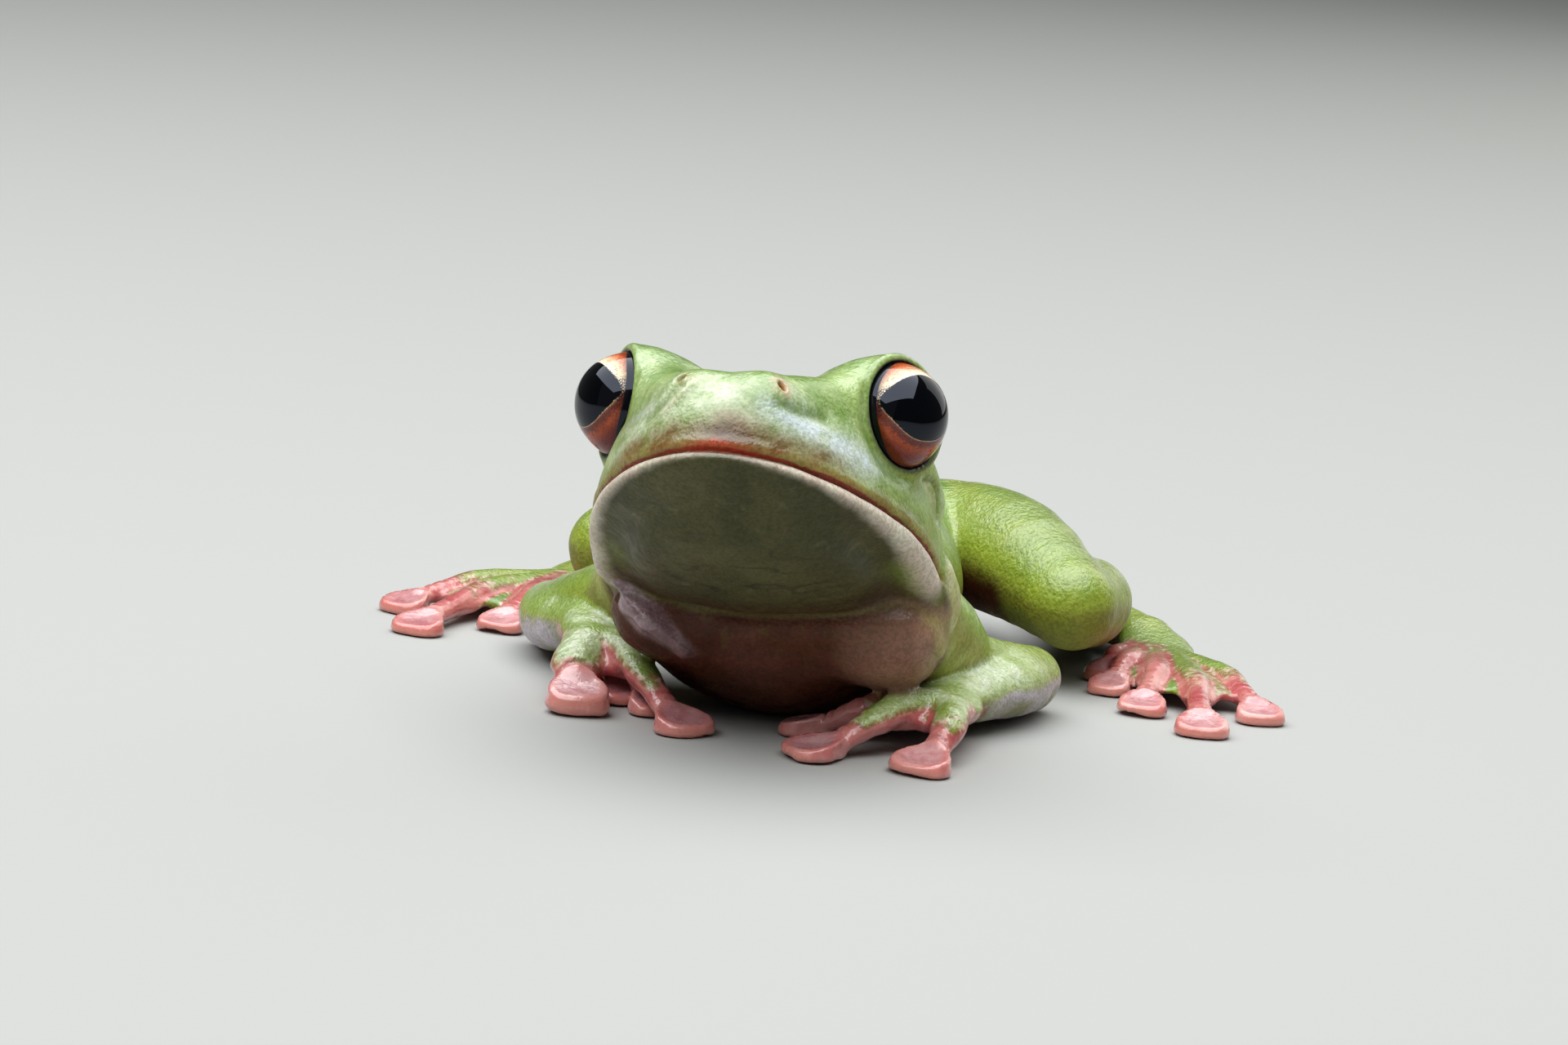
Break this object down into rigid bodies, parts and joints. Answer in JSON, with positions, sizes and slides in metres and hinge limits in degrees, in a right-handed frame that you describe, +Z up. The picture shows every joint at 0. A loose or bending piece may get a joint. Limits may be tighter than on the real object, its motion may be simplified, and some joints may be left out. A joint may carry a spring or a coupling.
{
  "type": "tree frog",
  "caption": "Life-size white-lipped tree frog resting with its head raised and its legs folded, a still display model.",
  "frame": {"origin": "on the floor under the middle of the frog's outline", "axes": "+Z up, the frog looks along -Y, +X to its left side"},
  "size_m": [0.0852, 0.0942, 0.0356],
  "materials": {
    "green_skin": "moist satin skin",
    "pale_skin": "moist satin skin",
    "pink_skin": "moist glossy skin",
    "eye": "wet clear gloss"
  },
  "bodies": {
    "root": {"head": "green_skin", "lower_jaw": "pale_skin", "torso": "green_skin", "eye_right": "eye", "eye_left": "eye", "upper_arm_right": "green_skin", "upper_arm_left": "green_skin", "forearm_right": "green_skin", "forearm_left": "green_skin", "palm_right": "pink_skin", "palm_left": "pink_skin", "finger_right_1": "pink_skin", "finger_right_2": "pink_skin", "finger_right_3": "pink_skin", "finger_right_4": "pink_skin", "finger_left_1": "pink_skin", "finger_left_2": "pink_skin", "finger_left_3": "pink_skin", "finger_left_4": "pink_skin", "thigh_right": "green_skin", "thigh_left": "green_skin", "shank_right": "green_skin", "shank_left": "green_skin", "tarsus_right": "green_skin", "tarsus_left": "green_skin", "foot_right": "pink_skin", "foot_left": "pink_skin"}
  },
  "joints": []
}
